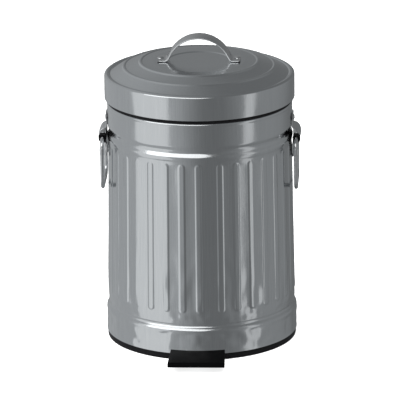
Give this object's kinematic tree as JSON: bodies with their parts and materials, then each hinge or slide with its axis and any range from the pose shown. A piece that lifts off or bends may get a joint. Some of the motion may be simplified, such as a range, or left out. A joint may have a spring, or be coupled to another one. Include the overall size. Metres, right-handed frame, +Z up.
{
  "type": "pedal trash can",
  "caption": "Round ribbed steel step-on waste bin with a hinged stepped lid, strap lid handle, drop handles on both sides, black base and collar, and a lift-out bucket.",
  "frame": {"origin": "on the floor, in the middle of the outer box; the can's own axis is 16.7 mm behind it", "axes": "+Z up, -Y to the pedal and +Y to the lid hinge, +X to the right-hand side handle"},
  "size_m": [0.2182, 0.2606, 0.334],
  "materials": {
    "sheet_steel": "bright rolled sheet steel",
    "plain_steel": "plain zinc-plated sheet steel",
    "fittings": "polished bright plating",
    "black_plastic": "satin black moulded plastic",
    "bucket_plastic": "fine-grained black moulded plastic"
  },
  "bodies": {
    "can": {"outer_shell": "sheet_steel", "base_ring": "black_plastic", "bottom_plate": "plain_steel", "pivot_bracket": "plain_steel", "bracket_rivet_left": "fittings", "bracket_rivet_right": "fittings", "pedal_axle": "fittings", "axle_clip_left": "fittings", "axle_clip_right": "fittings", "rod_guide_lower": "black_plastic", "rod_guide_upper": "black_plastic", "top_collar": "black_plastic", "hinge_bracket": "fittings", "hinge_pin": "fittings", "neck_hinge_rivet_left": "fittings", "neck_hinge_rivet_right": "fittings", "right_handle_saddle": "fittings", "right_handle_insert": "black_plastic", "right_saddle_rivet_upper": "fittings", "right_saddle_rivet_lower": "fittings", "left_handle_saddle": "fittings", "left_handle_insert": "black_plastic", "left_saddle_rivet_upper": "fittings", "left_saddle_rivet_lower": "fittings", "inner_bucket": "bucket_plastic"},
    "lid": {"lid_shell": "sheet_steel", "lid_handle": "fittings", "lid_handle_rivet_left": "fittings", "lid_handle_rivet_right": "fittings", "lid_hinge_leaf": "fittings", "lid_lug": "plain_steel", "lid_hinge_rivet_left": "fittings", "lid_hinge_rivet_right": "fittings"},
    "pedal": {"pedal_lever": "plain_steel", "pedal_tread": "black_plastic"},
    "rod": {"push_rod": "fittings"},
    "right_bail": {"right_handle_bail": "fittings"},
    "left_bail": {"left_handle_bail": "fittings"},
    "hoop": {"bucket_hoop": "fittings"}
  },
  "joints": [
    {"name": "lid_hinge", "type": "hinge", "parent": "can", "child": "lid", "pos_m": [0, 0.1267, 0.2625], "axis": [-1, 0, 0], "range_deg": [0, 70]},
    {"name": "pedal_pivot", "type": "hinge", "parent": "can", "child": "pedal", "pos_m": [0, -0.0533, 0.0125], "axis": [1, 0, 0], "range_deg": [0, 4.6]},
    {"name": "rod_slide", "type": "slide", "parent": "can", "child": "rod", "axis": [0, 0, 1], "range_m": [0, 0.0133]},
    {"name": "right_bail_hinge", "type": "hinge", "parent": "can", "child": "right_bail", "pos_m": [0.1042, 0.0167, 0.224], "axis": [0, -1, 0], "range_deg": [0, 170]},
    {"name": "left_bail_hinge", "type": "hinge", "parent": "can", "child": "left_bail", "pos_m": [-0.1042, 0.0167, 0.224], "axis": [0, 1, 0], "range_deg": [0, 170]},
    {"name": "hoop_hinge", "type": "hinge", "parent": "can", "child": "hoop", "pos_m": [0, 0.0167, 0.2574], "axis": [-1, 0, 0], "range_deg": [0, 22]}
  ],
  "couplings": [
    {"joint": "pedal_pivot", "follows": "lid_hinge", "ratio": 0.065},
    {"joint": "rod_slide", "follows": "lid_hinge", "m_per_rad": 0.01077}
  ]
}
